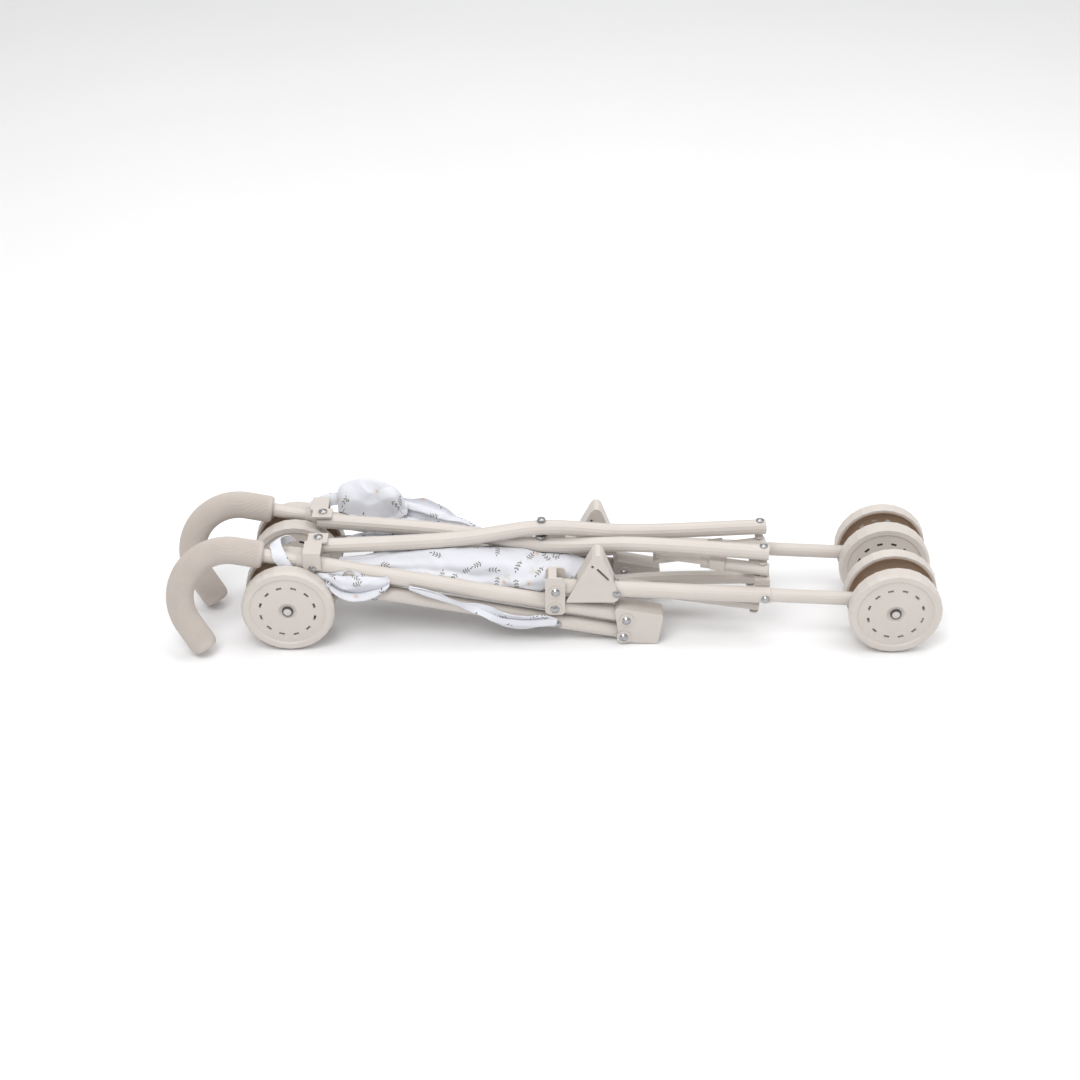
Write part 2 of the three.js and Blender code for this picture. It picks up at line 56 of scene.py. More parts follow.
AXLE = Vector(((lo.x + hi.x) / 2, (lo.y + hi_r.y) / 2, (lo.z + hi.z) / 2))
REAR_AXLE_MM = Vector((273.6, 0.0, 37.5))


def at(x, y, z):
    """a point of the drawing in mm, as a point of the row in metres"""
    return AXLE + (Vector((x, y, z)) - REAR_AXLE_MM) / 1000


MM = 0.001
SIDES = ((-1, "left"), (1, "right"))

# ---------------------------------------------------------------- camera
CAM_AZ, CAM_EL, CAM_DIST = math.radians(0.45), math.radians(32.19), 1.728
CAM_TARGET = at(-10.94, 0, 71.54)
LENS = 70.9
back = Vector((math.sin(CAM_AZ) * math.cos(CAM_EL), -math.cos(CAM_AZ) * math.cos(CAM_EL), math.sin(CAM_EL)))
camera = bpy.data.objects.new("camera", bpy.data.cameras.new("camera"))
camera.data.lens = LENS
camera.data.sensor_width = 36
camera.location = CAM_TARGET + back * CAM_DIST
camera.rotation_euler = (-back).to_track_quat("-Z", "Y").to_euler()
bpy.context.scene.collection.objects.link(camera)
bpy.context.scene.camera = camera


# ---------------------------------------------------------------- shader helpers
class Net:
    """small helper that builds node trees from expressions"""

    def __init__(self, name, rough, spec=0.5, metal=0.0):
        self.mat = bpy.data.materials.new(name)
        self.mat.use_nodes = True
        self.t = self.mat.node_tree
        self.bsdf = self.t.nodes["Principled BSDF"]
        self.bsdf.inputs["Roughness"].default_value = rough
        self.bsdf.inputs["Specular IOR Level"].default_value = spec
        self.bsdf.inputs["Metallic"].default_value = metal

    def node(self, kind, **props):
        n = self.t.nodes.new(kind)
        for k, v in props.items():
            setattr(n, k, v)
        return n

    def put(self, socket, value):
        if isinstance(value, bpy.types.NodeSocket):
            self.t.links.new(value, socket)
        else:
            socket.default_value = value

    def math(self, op, a, b=0.0, c=0.0, clamp=False):
        n = self.node("ShaderNodeMath", operation=op, use_clamp=clamp)
        for s, v in zip(n.inputs, (a, b, c)):
            self.put(s, v)
        return n.outputs[0]

    def vmath(self, op, a, b=(0, 0, 0)):
        n = self.node("ShaderNodeVectorMath", operation=op)
        self.put(n.inputs[0], a)
        self.put(n.inputs[1], b)
        return n.outputs["Value"] if op == "LENGTH" else n.outputs[0]

    def coords(self):
        return self.node("ShaderNodeTexCoord").outputs["Object"]

    def attribute(self, name):
        return self.node("ShaderNodeAttribute", attribute_name=name).outputs["Vector"]

    def noise(self, vec, scale, detail=3.0, rough=0.5, out="Fac"):
        n = self.node("ShaderNodeTexNoise")
        self.put(n.inputs["Vector"], vec)
        self.put(n.inputs["Scale"], scale)
        self.put(n.inputs["Detail"], detail)
        self.put(n.inputs["Roughness"], rough)
        return n.outputs[out]

    def voronoi(self, vec, scale, feature="F1", randomness=1.0, dims="3D"):
        n = self.node("ShaderNodeTexVoronoi", feature=feature, voronoi_dimensions=dims)
        self.put(n.inputs["Vector"], vec)
        self.put(n.inputs["Scale"], scale)
        self.put(n.inputs["Randomness"], randomness)
        return n

    def ramp(self, fac, stops):
        n = self.node("ShaderNodeValToRGB")
        r = n.color_ramp
        while len(r.elements) < len(stops):
            r.elements.new(0.5)
        for e, (p, c) in zip(r.elements, stops):
            e.position, e.color = p, c
        self.put(n.inputs[0], fac)
        return n.outputs[0]

    def mix(self, fac, a, b, kind="MIX"):
        n = self.node("ShaderNodeMix", data_type="RGBA", blend_type=kind)
        self.put(n.inputs[0], fac)
        self.put(n.inputs[6], a)
        self.put(n.inputs[7], b)
        return n.outputs[2]

    def range(self, v, a, b, c, d):
        n = self.node("ShaderNodeMapRange", clamp=True)
        for s, x in zip(n.inputs, (v, a, b, c, d)):
            self.put(s, x)
        return n.outputs[0]

    def bump(self, height, strength, distance):
        n = self.node("ShaderNodeBump")
        self.put(n.inputs["Height"], height)
        n.inputs["Strength"].default_value = strength
        n.inputs["Distance"].default_value = distance
        self.t.links.new(n.outputs[0], self.bsdf.inputs["Normal"])

    def color(self, value):
        self.put(self.bsdf.inputs["Base Color"], value)

    def rough(self, value):
        self.put(self.bsdf.inputs["Roughness"], value)


def shade(rgb, k=1.0):
    return (rgb[0] * k, rgb[1] * k, rgb[2] * k, 1.0)


BEIGE = (0.560, 0.515, 0.475)
PLASTIC = (0.570, 0.525, 0.485)
GRIP = (0.500, 0.450, 0.412)
CREAM = (0.690, 0.700, 0.745)


def tube_paint():
    n = Net("tube_powder_coat", 0.38, 0.5)
    p = n.coords()
    cloud = n.noise(p, 35, 3)
    n.color(n.mix(cloud, shade(BEIGE, 0.94), shade(BEIGE, 1.05)))
    speck = n.noise(p, 2600, 2)
    n.rough(n.range(n.noise(p, 90, 4), 0.3, 0.7, 0.32, 0.46))
    n.bump(speck, 0.12, 0.0003)
    return n.mat


def moulded(name, base, rough):
    n = Net(name, rough, 0.45)
    p = n.coords()
    cloud = n.noise(p, 60, 3)
    tone = n.mix(cloud, shade(base, 0.95), shade(base, 1.04))
    n.color(tone)
    n.rough(n.range(n.noise(p, 140, 4), 0.3, 0.7, rough - 0.06, rough + 0.08))
    grain = n.voronoi(p, 2200).outputs["Distance"]
    n.bump(grain, 0.10, 0.0003)
    return n.mat


def wheel_plastic(name, axle, slots):
    """moulded wheel: turning lines, a painted warm shade (shadow and bounce light) inside the dish, and slots painted
    near-black as shade on a plain disc
    """
    n = Net(name, 0.46, 0.45)
    p = n.coords()
    sep = n.node("ShaderNodeSeparateXYZ")
    n.put(sep.inputs[0], n.vmath("SUBTRACT", p, tuple(axle)))
    dx, dy, dz = sep.outputs
    dy = n.math("ABSOLUTE", dy)
    r = n.math("SQRT", n.math("ADD", n.math("MULTIPLY", dx, dx), n.math("MULTIPLY", dz, dz)))
    lines = n.math("SINE", n.math("MULTIPLY", r, 2 * math.pi / 0.0011))
    # painted shade: brown inside the dish, within 17.4 mm of the pair's middle and 34.6 mm of the axle, stands in for
    # its shadow and warm bounce light
    painted_dish_shade = n.math("MULTIPLY", n.range(dy, 0.0174, 0.0182, 1, 0), n.range(r, 0.0346, 0.0352, 1, 0))
    tone = n.mix(n.noise(p, 55, 3), shade(PLASTIC, 0.95), shade(PLASTIC, 1.04))
    tone = n.mix(n.math("MULTIPLY", painted_dish_shade, 0.8), tone, (0.40, 0.26, 0.16, 1))
    if slots:
        # painted shade: twelve near-black slots on the outer face stand in for the dark seen through the disc's
        # openings
        turn = n.math("DIVIDE", n.math("ARCTAN2", dz, dx), math.pi / 6)
        off = n.math("ABSOLUTE", n.math("SUBTRACT", n.math("FRACT", turn), 0.5))
        painted_slot_shade = n.math("MULTIPLY", n.math("LESS_THAN", off, 0.198),
                      n.math("LESS_THAN", n.math("ABSOLUTE", n.math("SUBTRACT", r, 0.0222)), 0.00095))
        painted_slot_shade = n.math("MULTIPLY", painted_slot_shade, n.math("GREATER_THAN", dy, 0.0185))
        tone = n.mix(painted_slot_shade, tone, (0.03, 0.02, 0.015, 1))
    n.color(tone)
    n.rough(n.range(n.noise(p, 150, 4), 0.3, 0.7, 0.40, 0.54))
    n.bump(n.math("ADD", n.math("MULTIPLY", lines, 0.5), n.noise(p, 1800, 2)), 0.08, 0.0003)
    return n.mat


def grip_plastic():
    n = Net("grip_ribbed", 0.62, 0.35)
    p = n.coords()
    cloud = n.noise(p, 80, 3)
    n.color(n.mix(cloud, shade(GRIP, 0.94), shade(GRIP, 1.06)))
    n.rough(n.range(n.noise(p, 200, 3), 0.3, 0.7, 0.56, 0.7))
    n.bump(n.noise(p, 2400, 2), 0.1, 0.0003)
    return n.mat


def chrome():
    n = Net("bright_steel", 0.2, 0.5, 1.0)
    p = n.coords()
    n.color(n.mix(n.noise(p, 400, 3), (0.30, 0.30, 0.31, 1), (0.46, 0.46, 0.47, 1)))
    n.rough(n.range(n.noise(p, 900, 3), 0.3, 0.7, 0.16, 0.32))
    return n.mat


def hub_cap(name, axle):
    """light domed cap with a dark ring round it"""
    n = Net(name, 0.35, 0.5)
    p = n.coords()
    d = n.vmath("MULTIPLY", n.vmath("SUBTRACT", p, tuple(axle)), (1, 0, 1))
    ring = n.range(n.vmath("LENGTH", d), 0.0030, 0.0033, 0, 1)
    n.color(n.mix(ring, n.mix(n.noise(p, 500, 2), (0.46, 0.45, 0.44, 1), (0.58, 0.57, 0.56, 1)), (0.07, 0.055, 0.045, 1)))
    n.rough(n.range(n.noise(p, 700, 2), 0.3, 0.7, 0.25, 0.45))
    return n.mat


def sprig_cotton():
    """white cotton with small sprigs, leaves and pale blossoms, laid out on the cloth's own coordinates"""
    n = Net("sprig_cotton", 0.88, 0.2)
    n.bsdf.inputs["Sheen Weight"].default_value = 0.18
    n.bsdf.inputs["Sheen Roughness"].default_value = 0.5
    uv = n.attribute("cloth")
    wob = n.noise(uv, 60, 2, out="Color")
    uvw = n.vmath("ADD", uv, n.vmath("MULTIPLY", n.vmath("SUBTRACT", wob, (0.5, 0.5, 0.5)), (0.004, 0.004, 0)))

    def motif(scale, shift, leaves, size, keep):
        q = n.vmath("ADD", uvw, shift)
        v = n.voronoi(q, scale, randomness=0.95, dims="2D")
        d = n.vmath("SUBTRACT", q, v.outputs["Position"])
        rnd = n.node("ShaderNodeSeparateXYZ")
        n.put(rnd.inputs[0], v.outputs["Color"])
        ang = n.math("MULTIPLY", rnd.outputs[0], 6.2831)
        c, s = n.math("COSINE", ang), n.math("SINE", ang)
        xy = n.node("ShaderNodeSeparateXYZ")
        n.put(xy.inputs[0], d)
        x = n.math("ADD", n.math("MULTIPLY", xy.outputs[0], c), n.math("MULTIPLY", xy.outputs[1], s))
        y = n.math("SUBTRACT", n.math("MULTIPLY", xy.outputs[1], c), n.math("MULTIPLY", xy.outputs[0], s))
        total = None
        for (lx, ly, la, ll, lw) in leaves:
            ca, sa = math.cos(la), math.sin(la)
            dx = n.math("SUBTRACT", x, lx * size)
            dy = n.math("SUBTRACT", y, ly * size)
            px = n.math("ADD", n.math("MULTIPLY", dx, ca / (ll * size)), n.math("MULTIPLY", dy, sa / (ll * size)))
            py = n.math("SUBTRACT", n.math("MULTIPLY", dy, ca / (lw * size)), n.math("MULTIPLY", dx, sa / (lw * size)))
            r2 = n.math("ADD", n.math("MULTIPLY", px, px), n.math("MULTIPLY", py, py))
            m = n.range(r2, 0.75, 1.15, 1, 0)
            total = m if total is None else n.math("MAXIMUM", total, m)
        seen = n.math("LESS_THAN", rnd.outputs[1], keep)
        return n.math("MULTIPLY", total, seen)

    twig = [(0, 0, 0, 1.0, 0.045)]
    for k in (-0.62, -0.12, 0.38):
        twig += [(k + 0.2, 0.25, 0.95, 0.24, 0.1), (k + 0.2, -0.25, -0.95, 0.24, 0.1)]
    twig.append((1.12, 0, 0, 0.24, 0.11))
    leafy = [(0, 0, 0.3, 0.8, 0.32), (0.55, 0.5, 1.1, 0.5, 0.24), (0.4, -0.5, -0.8, 0.55, 0.26)]
    bloom = [(0.42 * math.cos(a), 0.42 * math.sin(a), a, 0.4, 0.26) for a in (0, 1.257, 2.513, 3.77, 5.027)]
    heart = [(0, 0, 0, 0.2, 0.2)]
    base = n.mix(n.noise(uv, 30, 3), shade(CREAM, 0.97), shade(CREAM, 1.0))
    tint = n.noise(uv, 160, 2)
    col = n.mix(n.math("MULTIPLY", motif(40, (0.31, 0.17, 0), leafy, 0.0038, 0.5), 0.6), base,
                n.mix(tint, (0.52, 0.52, 0.40, 1), (0.66, 0.64, 0.54, 1)))
    col = n.mix(n.math("MULTIPLY", motif(36, (0.11, 0.43, 0), bloom, 0.0034, 0.4), 0.6), col, (0.66, 0.52, 0.42, 1))
    col = n.mix(n.math("MULTIPLY", motif(36, (0.11, 0.43, 0), heart, 0.0034, 0.4), 0.75), col, (0.42, 0.33, 0.24, 1))
    col = n.mix(n.math("MULTIPLY", motif(56, (0.0, 0.0, 0), twig, 0.0050, 0.85), 0.95), col,
                n.mix(tint, (0.07, 0.065, 0.05, 1), (0.19, 0.175, 0.135, 1)))
    n.color(col)
    sep = n.node("ShaderNodeSeparateXYZ")
    n.put(sep.inputs[0], uv)
    k = 2 * math.pi / 0.00045
    weave = n.math("MULTIPLY", n.math("SINE", n.math("MULTIPLY", sep.outputs[0], k)),
                   n.math("SINE", n.math("MULTIPLY", sep.outputs[1], k)))
    h = n.math("ADD", n.math("MULTIPLY", weave, 0.25), n.math("MULTIPLY", n.noise(uv, 220, 4), 2.2))
    n.bump(h, 0.35, 0.0006)
    return n.mat


TUBE = tube_paint()
BODY = moulded("housing_plastic", PLASTIC, 0.44)
GRIPS = grip_plastic()
STEEL = chrome()
CLOTH = sprig_cotton()
# painted shade: near-black material standing in for shaded recesses; no part is given it
dark = Net("painted_recess_shade", 0.6)
dark.color(dark.mix(dark.noise(dark.coords(), 300, 2), (0.03, 0.025, 0.02, 1), (0.06, 0.05, 0.04, 1)))
PAINTED_RECESS_SHADE = dark.mat


def dress(obj, mat):
    obj.data.materials.clear()
    obj.data.materials.append(mat)


def middle(node):
    """centre of a node's own mesh, in its own coordinates"""
    points = [v.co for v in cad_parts[node].data.vertices]
    return [(min(c[i] for c in points) + max(c[i] for c in points)) / 2 for i in range(3)]


for name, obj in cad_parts.items():
    if name.endswith("_cloth"):
        mat = CLOTH
    elif "_disc_" in name:
        mat = wheel_plastic("plastic_" + name, middle(name.rsplit("_disc_", 1)[0] + "_axle"), name.endswith("inner"))
    elif name.endswith("_axle"):
        mat = hub_cap("cap_" + name, middle(name))
    elif "rivet" in name:
        mat = STEEL
    elif "grip" in name:
        mat = GRIPS
    elif "housing" in name or "plate" in name:
        mat = BODY
    else:
        mat = TUBE
    dress(obj, mat)
    for p in obj.data.polygons:
        p.use_smooth = True
    obj.data.set_sharp_from_angle(angle=math.radians(34))


# ---------------------------------------------------------------- mesh helpers
def new_mesh(name, verts, faces, mat, body, smooth=True, angle=40):
    me = bpy.data.meshes.new(name)
    me.from_pydata([tuple(v) for v in verts], [], faces)
    me.validate()
    obj = bpy.data.objects.new(name, me)
    bpy.context.scene.collection.objects.link(obj)
    dress(obj, mat)
    if smooth:
        for p in me.polygons:
            p.use_smooth = True
        me.set_sharp_from_angle(angle=math.radians(angle))
    if body:
        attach(obj, body)
    return obj


def screw_head(name, p, axis, r, h, body):
    """domed head with a raised rim and a small dimple, turned about its axis"""
    prof = [(1.0, 0), (1.0, 0.35), (0.93, 0.55), (0.82, 0.62), (0.74, 0.5), (0.6, 0.62), (0.4, 0.85), (0.2, 0.97),
            (0, 1.0)]
    q = Vector(axis).normalized().to_track_quat("Z", "Y")
    n = 28
    verts, faces = [], []
    for k, (a, b) in enumerate(prof[:-1]):
        for i in range(n):
            t = 2 * math.pi * i / n
            verts.append(p + q @ Vector((a * r * math.cos(t), a * r * math.sin(t), b * h)))
    top = len(verts)
    verts.append(p + q @ Vector((0, 0, h)))
    for k in range(len(prof) - 2):
        for i in range(n):
            j = (i + 1) % n
            faces.append((k * n + i, k * n + j, (k + 1) * n + j, (k + 1) * n + i))
    k = len(prof) - 2
    for i in range(n):
        faces.append((k * n + i, k * n + (i + 1) % n, top))
    faces.append(tuple(reversed(range(n))))
    return new_mesh(name, verts, faces, STEEL, body)


# ---------------------------------------------------------------- screws and small heads
def push_z(x):
    return 23 + (x - 59.2) * -0.1895


FRONT_CLIP_X, CLIP_X = -143.6, -192
leg_z = lambda x: 6.7 + (x - 57.4) * -0.187
rear_z = lambda x: 50 + (x - 2) * (42.25 - 50) / (170.4 - 2)
for s, tag in SIDES:
    y = s * 35
    for d in (-1, 1):
        out = (0, d, 0)
        screw_head(f"plate_screw_{tag}_{'near' if d < 0 else 'far'}", at(1.4, y + d * 9.7, 34), out, 3.7 * MM,
                   1.7 * MM, f"side_frame_{tag}")
        screw_head(f"lock_screw_{tag}_{'near' if d < 0 else 'far'}", at(50.8, y + d * 8.2, rear_z(50.8)), out,
                   3.3 * MM, 1.4 * MM, f"rear_leg_{tag}")
        screw_head(f"leg_screw_{tag}_{'near' if d < 0 else 'far'}", at(3.9, y + d * 6.0, leg_z(3.9)), out,
                   3.1 * MM, 1.4 * MM, f"front_leg_{tag}")
    out = (0, s, 0)
    screw_head(f"clip_screw_{tag}", at(CLIP_X, y + s * 8.5, push_z(CLIP_X)), out, 3.2 * MM, 1.5 * MM, f"push_clip_{tag}")
    screw_head(f"clip_pin_head_{tag}", at(-188.5, s * 19.5, 86.0), (0, 0, 1), 3.6 * MM, 1.5 * MM, f"push_clip_{tag}")
    screw_head(f"arm_end_screw_{tag}", at(168.8, -s * 19.5, 79.0), (0, 0, 1), 3.3 * MM, 1.6 * MM, f"back_arm_{tag}")
    screw_head(f"front_clip_screw_{tag}", at(FRONT_CLIP_X, y + s * 8.2, leg_z(FRONT_CLIP_X)), out, 3.4 * MM,
               1.5 * MM, f"front_clip_{tag}")


# ---------------------------------------------------------------- ribbed grips
GRIP_R, HOOK_R, HOOK_TURN, HOOK_TIP, HOOK_LEAN, GRIP_X, GRIP_LEAD = 10.9, 39, 133, 21, 18, -233.2, 20
RIBS, RIB_DEPTH = 60, 0.42


def grip_line(s):
    """centre points of the grip with the way it heads, and a side vector that stays square to it"""
    start = Vector((GRIP_X, s * 35, push_z(GRIP_X)))
    axis = Vector((-1, 0, 0.1895)).normalized()
    down = Matrix.Rotation(math.radians(HOOK_LEAN), 3, axis) @ Vector((-axis.z, 0, axis.x))
    across = axis.cross(down)
    centre = start + axis * GRIP_LEAD + down * HOOK_R
    rows = [(start + axis * t, axis) for t in (-1.6, -0.6, 0.6, 2.2, 4, 8, 12, 16)]
    for i in range(45):
        a = math.radians(HOOK_TURN * i / 44)
        rows.append((centre - down * (HOOK_R * math.cos(a)) + axis * (HOOK_R * math.sin(a)),
                     axis * math.cos(a) + down * math.sin(a)))
    end, way = rows[-1]
    rows += [(end + way * t, way) for t in (4, 8, 12, 15, 18, 20, 21.5, 23, 24.2, 25)]
    return rows, across


for s, tag in SIDES:
    rows, across = grip_line(s)
    radius = [9.0, 10.2, 10.75] + [GRIP_R] * (len(rows) - 8) + [10.8, 10.6, 10.2, 9.5, 8.6]
    ribbed = [0, 0, 0.3] + [1] * (len(rows) - 8) + [0.6, 0.3, 0.1, 0, 0]
    n = RIBS * 4
    verts, faces = [], []
    for (p, way), r, k in zip(rows, radius, ribbed):
        side = across
        other = way.cross(side)
        for i in range(n):
            t = 2 * math.pi * i / n
            rr = r + 0.12 - k * RIB_DEPTH * (0.5 - 0.5 * math.cos(RIBS * t)) ** 2
            verts.append(at(*(p + side * (rr * math.cos(t)) + other * (rr * math.sin(t)))))
    for a in range(len(rows) - 1):
        for i in range(n):
            j = (i + 1) % n
            faces.append((a * n + i, (a + 1) * n + i, (a + 1) * n + j, a * n + j))
    faces.append(tuple(range(n)))
    faces.append(tuple(reversed(range(len(verts) - n, len(verts)))))
    grip = new_mesh(f"grip_sleeve_{tag}", verts, faces, GRIPS, f"side_frame_{tag}", angle=60)
    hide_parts(f"grip_{tag}")


# ---------------------------------------------------------------- cloth
tris, pts = [], []
for name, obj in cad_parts.items():
    if name.endswith("_cloth"):
        continue
    base = len(pts)
    pts += [obj.matrix_world @ v.co for v in obj.data.vertices]
    tris += [tuple(base + i for i in p.vertices) for p in obj.data.polygons]
SOLID = BVHTree.FromPolygons(pts, tris)
CLEAR = 0.0009                    # metres kept between a cloth's middle surface and a hard part


def push_out(grid, rounds=3):
    """keeps a grid of cloth points clear of every hard part, and relaxes the points it moved"""
    nu, nv = len(grid), len(grid[0])
    for _ in range(rounds):
        hit = [[False] * nv for _ in range(nu)]
        for a in range(nu):
            for b in range(nv):
                p = grid[a][b]
                near, normal, _, dist = SOLID.find_nearest(p, 0.02)
                if near is None:
                    continue
                if (p - near).dot(normal) < 0 or dist < CLEAR:
                    grid[a][b] = near + normal * CLEAR
                    hit[a][b] = True
        for a in range(1, nu - 1):
            for b in range(1, nv - 1):
                if hit[a][b]:
                    around = (grid[a - 1][b] + grid[a + 1][b] + grid[a][b - 1] + grid[a][b + 1]) / 4
                    grid[a][b] = grid[a][b].lerp(around, 0.35)
    return grid


def smooth_path(points, u):
    """Catmull-Rom through rows of numbers"""
    k = u * (len(points) - 1)
    i = min(int(k), len(points) - 2)
    t = k - i
    p0, p1, p2, p3 = (points[max(0, min(len(points) - 1, j))] for j in (i - 1, i, i + 1, i + 2))
    return [0.5 * (2 * b + (c - a) * t + (2 * a - 5 * b + 4 * c - d) * t * t + (3 * b - a - 3 * c + d) * t ** 3)
            for a, b, c, d in zip(p0, p1, p2, p3)]


def crumple(p, seed, amount):
    """a push in mm that makes large soft dents and small sharp creases"""
    q = p / 1000 + Vector((seed * 3.1, seed * 1.7, seed * 2.3))
    soft = noise.noise_vector(q * 38)
    fine = noise.noise_vector(q * 95)
    crease = 1 - abs(noise.noise(q * 60)) * 3
    return (soft * 1.0 + fine * 0.4) * amount + Vector((0, -0.5, 0.6)) * crease * amount * 0.35


def cloth(name, shape, nu, nv, thick=0.5, body=None, stands_for=(), spread=None):
    """sheet from shape(u, v) in mm, with its own flat coordinates for the print, and two faces a little apart"""
    grid = push_out([[at(*shape(a / (nu - 1), b / (nv - 1))) for b in range(nv)] for a in range(nu)])
    across = [[0.0] for _ in range(nu)]
    for a in range(nu):
        for b in range(1, nv):
            across[a].append(across[a][-1] + (grid[a][b] - grid[a][b - 1]).length)
    along = [0.0]
    for a in range(1, nu):
        along.append(along[-1] + sum((grid[a][b] - grid[a - 1][b]).length for b in range(nv)) / nv)
    verts, uvs, faces = [], [], []
    for layer in (0.5, -0.5):
        for a in range(nu):
            for b in range(nv):
                du = grid[min(a + 1, nu - 1)][b] - grid[max(a - 1, 0)][b]
                dv = grid[a][min(b + 1, nv - 1)] - grid[a][max(b - 1, 0)]
                normal = du.cross(dv)
                normal = normal.normalized() if normal.length > 1e-12 else Vector((0, 0, 1))
                verts.append(grid[a][b] + normal * (layer * thick * MM))
                uvs.append((along[a], across[a][b] - across[a][-1] / 2, 0.0))
    m = nu * nv
    for a in range(nu - 1):
        for b in range(nv - 1):
            i = a * nv + b
            faces.append((i, i + nv, i + nv + 1, i + 1))
            faces.append((m + i, m + i + 1, m + i + nv + 1, m + i + nv))
    rim = [b for b in range(nv)] + [a * nv + nv - 1 for a in range(1, nu)]
    rim += [(nu - 1) * nv + b for b in range(nv - 2, -1, -1)] + [a * nv for a in range(nu - 2, 0, -1)]
    for i, j in zip(rim, rim[1:] + rim[:1]):
        faces.append((i, j, m + j, m + i))
    obj = new_mesh(name, verts, faces, CLOTH, None, angle=70)
    layer = obj.data.attributes.new("cloth", "FLOAT_VECTOR", "POINT")
    for i, uv in enumerate(uvs):
        layer.data[i].vector = uv
    if spread:
        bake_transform(obj)
    else:
        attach(obj, body)
    if stands_for:
        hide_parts(*stands_for)
    return obj


def gathered(path, pleats, seed, amount, lean=0.0):
    """cloth drawn together along a path of rows (x, y, z, half spread, half pleat depth, roll in degrees)"""
    def shape(u, v):
        x, y, z, wide, deep, roll = smooth_path(path, u)
        ahead = smooth_path(path, min(1, u + 0.02))
        behind = smooth_path(path, max(0, u - 0.02))
        way = (Vector(ahead[:3]) - Vector(behind[:3])).normalized()
        a = Vector((0, 0, 1)).cross(way).normalized()
        b = way.cross(a)
        turn = math.radians(roll)
        a, b = a * math.cos(turn) + b * math.sin(turn), b * math.cos(turn) - a * math.sin(turn)
        k = v * pleats + 0.5 * noise.noise(Vector((u * 2.2, seed, v * 1.4)))
        wave = math.sin(math.pi * 2 * k)
        wave = wave * (0.75 + 0.45 * noise.noise(Vector((u * 3.0 + seed, v * 5.0, 1.3))))
        side = (2 * v - 1) + 0.22 * math.cos(math.pi * 4 * k) * (1 / pleats)
        p = Vector((x, y, z)) + a * (side * wide) + b * (wave * deep + lean * side * wide)
        return p + crumple(p + Vector((0, 0, v * 14)), seed, amount)
    return shape


def ribbon(path, half, seed, amount=0.4):
    """flat strap along rows (x, y, z, way across as x, y, z)"""
    def shape(u, v):
        row = smooth_path(path, u)
        wide = Vector(row[3:6]).normalized()
        p = Vector(row[:3]) + wide * ((2 * v - 1) * half)
        bow = math.cos(math.pi * (v - 0.5) * 1.6)
        q = p / 1000
        return p + noise.noise_vector(q * 55 + Vector((seed, 0, 0))) * amount + Vector((0, -0.4, 0.5)) * bow
    return shape


LEFT, RIGHT = "side_frame_left", "side_frame_right"
def bagged(path, seed, amount, drapes):
    """cloth rolled loosely on itself along rows (x, y, z, half width, half thickness, tilt in degrees)"""
    def shape(u, v):
        x, y, z, wide, thin, tilt = smooth_path(path, u)
        t = math.radians(-60 + 300 * v)
        curl = 1 - 0.22 * max(0, v - 0.75)
        a, b = wide * curl * math.cos(t), thin * curl * math.sin(t)
        k = math.radians(tilt)
        out = Vector((0, math.cos(t) * math.cos(k) - math.sin(t) * math.sin(k), math.cos(t) * math.sin(k) + math.sin(t) * math.cos(k)))
        p = Vector((x, y + a * math.cos(k) - b * math.sin(k), z + a * math.sin(k) + b * math.cos(k)))
        ridge = 0
        for i, (n, slip, size) in enumerate(drapes):
            ridge += size * math.sin(n * 2 * math.pi * v + slip * u * 6 + i * 1.9) * math.sin(math.pi * min(1, 0.15 + u))
        return p + out * ridge + crumple(p, seed, amount)
    return shape


# main bundle of the folded seat, in the middle of the frame, lying against the near push tube
main = [(-172, -23, 66, 1.5, 0.8, 30), (-140, -19, 62.5, 8, 3.5, 26), (-110, -15, 60, 13, 6, 22), (-74, -12, 55.5, 18, 9, 22),
        (-50, -12, 52, 21, 11, 25), (-27, -12, 50, 22, 12, 26), (-8, -12, 50, 19, 10, 22), (6, -12, 50.5, 15, 7.5, 20),
        (18, -10, 50, 11, 5.5, 26), (27, -8, 49.5, 7, 4, 28)]
cloth("seat_bundle", bagged(main, 1, 2.4, ((2, 0.9, 2.3), (3, -1.4, 1.9), (7, 1.8, 0.7))), 150, 120,
      stands_for=("seat_cloth",), spread=(at(-60, -24, 50), at(-60, 12, 50)))
top = [(-172, 12, 63, 3, 1, 12), (-150, 13, 64, 11, 3, 10), (-125, 12, 62, 13, 4, 8), (-100, 10, 60, 11, 3, 10),
       (-80, 8, 58, 3, 1, 12)]
cloth("seat_top_fold", gathered(top, 3, 2, 2.2), 80, 60,
      spread=(at(-120, 0, 60), at(-120, 26, 60)))
# bunch beside the front wheel, between the push tube and the front leg
bunch = [(-191, -39, 64, 3, 1.2, 80), (-180, -42, 60, 7, 3, 78), (-168, -43.5, 56, 11, 4, 80), (-155, -44, 53.5, 11, 4, 82),
         (-143, -43, 55, 7.5, 3, 80), (-132, -40.5, 57, 3.5, 1.5, 78)]
cloth("front_bunch", gathered(bunch, 2, 3, 2.3), 60, 64, body=LEFT,
      stands_for=("front_cloth",))
# twisted strip under the near push tube, ending at the screw of the front leg
strip = [(-115, -43.2, 53, 2.6, 0.8, 80), (-95, -44.5, 46.5, 3.2, 1.0, 96), (-76, -45.5, 39.5, 3.0, 1.2, 130),
         (-60, -46, 33.5, 3.8, 1.4, 60), (-43, -46.3, 26.5, 6.2, 1.7, 84), (-24, -46.3, 23.5, 7.4, 1.9, 92),
         (-9, -45.6, 22.5, 6, 1.6, 90), (3.2, -43.2, 19.6, 2.6, 0.6, 84)]
cloth("side_strip", gathered(strip, 1, 4, 1.3), 130, 30, body=LEFT,
      stands_for=("side_cloth",))


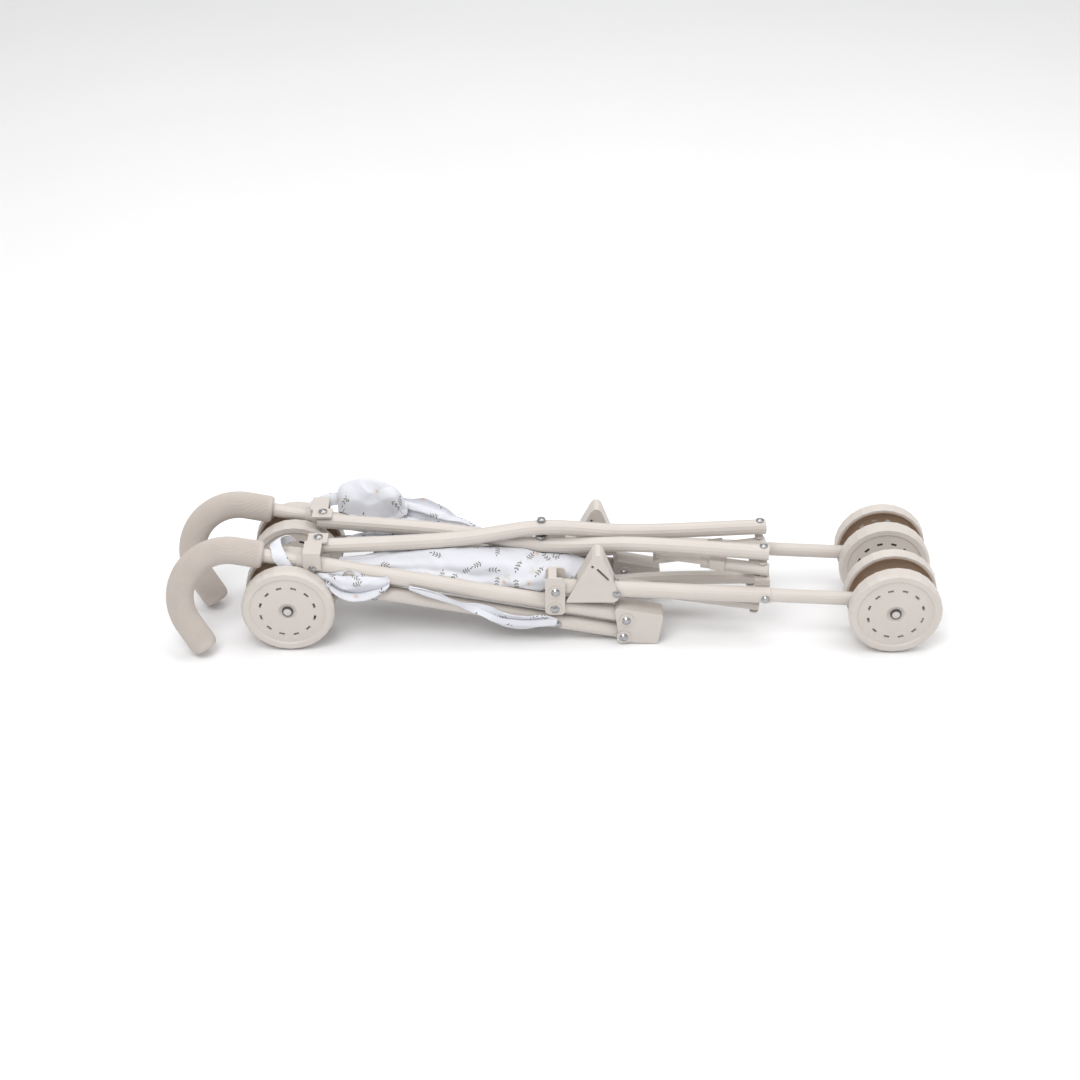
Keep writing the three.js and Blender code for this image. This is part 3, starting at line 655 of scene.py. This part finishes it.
def puff(u, v):
    """a pocket of the seat back standing up behind the far push tube"""
    x = -179 + 58 * u
    t = math.radians(-14 + 208 * v)
    body = math.sqrt(max(0.02, 1 - ((x + 153) / 30) ** 2))
    p = Vector((x, 48 - 12 * math.cos(t) * (0.5 + 0.5 * body), 70 + (4 + 26 * body) * max(-0.12, math.sin(t))))
    ridge = 2.2 * abs(math.sin(4.5 * v + 3.5 * u)) + 1.7 * abs(math.sin(8 * v - 6 * u + 1)) - 2
    p += Vector((0.2, -0.5, 0.5)) * ridge
    return p + crumple(p, 5, 3.0)


cloth("back_puff", puff, 64, 90, body=RIGHT, stands_for=("back_cloth",))
tail = [(-178, 44, 71, 6, 2, 50), (-155, 46, 72.5, 10, 3, 52), (-130, 46.5, 71, 12, 4, 52), (-110, 46.5, 67.5, 12, 4, 50),
        (-92, 46, 62, 10, 3, 48), (-76, 44.5, 57.5, 6, 2, 46), (-62, 42.5, 54, 3, 1, 46)]
cloth("back_tail", gathered(tail, 2, 6, 2.6), 100, 60, body=RIGHT)
# white ribbon looped over the near push tube, running down into the bunch
loop = [(-212, -17, 79, 1, 0.2, 0.3), (-217, -20, 85, 0.9, 0.2, 0.4), (-222, -26, 85.5, 0.8, 0.4, 0.4),
        (-221, -33, 82.5, 0.75, 0.5, 0.35), (-217, -39.4, 78.5, 0.7, 0.3, 0.5), (-213, -42.3, 72.5, 0.7, 0, 0.6),
        (-207, -42.8, 64.5, 0.6, 0, 0.7), (-196, -43.2, 58.5, 0.4, 0, 0.9), (-178, -43.4, 57.5, 0.2, 0, 1)]
cloth("ribbon_loop", ribbon(loop, 5.3, 7), 90, 10, thick=0.6, body=LEFT)
# strap from the far clip to the puff
tab = [(-201, 37, 79, 0, 0.6, 0.6), (-190, 42.5, 82, 0, 0.5, 0.8), (-176, 45, 84, 0.1, 0.4, 0.9), (-160, 46.5, 85, 0.2, 0.3, 1)]
cloth("far_strap", ribbon(tab, 5.3, 8), 50, 10, thick=0.6, body=RIGHT)

# ---------------------------------------------------------------- floor and light
def lamp(name, energy, size, place, target, tint=(1, 1, 1)):
    data = bpy.data.lights.new(name, "AREA")
    data.shape, data.size, data.energy, data.color = "DISK", size, energy, tint
    obj = bpy.data.objects.new(name, data)
    obj.location = place
    obj.rotation_euler = (Vector(target) - Vector(place)).to_track_quat("-Z", "Y").to_euler()
    bpy.context.scene.collection.objects.link(obj)


def floor_material():
    n = Net("pale_floor", 0.7, 0.2)
    p = n.coords()
    n.color(n.mix(n.noise(p, 3, 3), (0.86, 0.86, 0.87, 1), (0.90, 0.90, 0.905, 1)))
    n.bump(n.noise(p, 400, 2), 0.03, 0.0005)
    return n.mat


HALF = 3.0
floor = new_mesh("floor", [(-HALF, -HALF, -0.0004), (HALF, -HALF, -0.0004), (HALF, HALF, -0.0004), (-HALF, HALF, -0.0004)],
                 [(0, 1, 2, 3)], floor_material(), None, smooth=False)
lamp("key", 19, 1.2, (-0.5, -1.0, 1.7), (0, 0, 0.05))
lamp("fill", 10, 1.6, (1.2, -0.3, 1.4), (0, 0, 0.05))
lamp("top", 12, 1.6, (0.1, 0.7, 1.9), (0, 0, 0))
world = bpy.data.worlds.new("studio")
world.use_nodes = True
world.node_tree.nodes["Background"].inputs["Color"].default_value = (1, 1, 1, 1)
world.node_tree.nodes["Background"].inputs["Strength"].default_value = 0.62
bpy.context.scene.world = world
bpy.context.scene.view_settings.view_transform = "Standard"
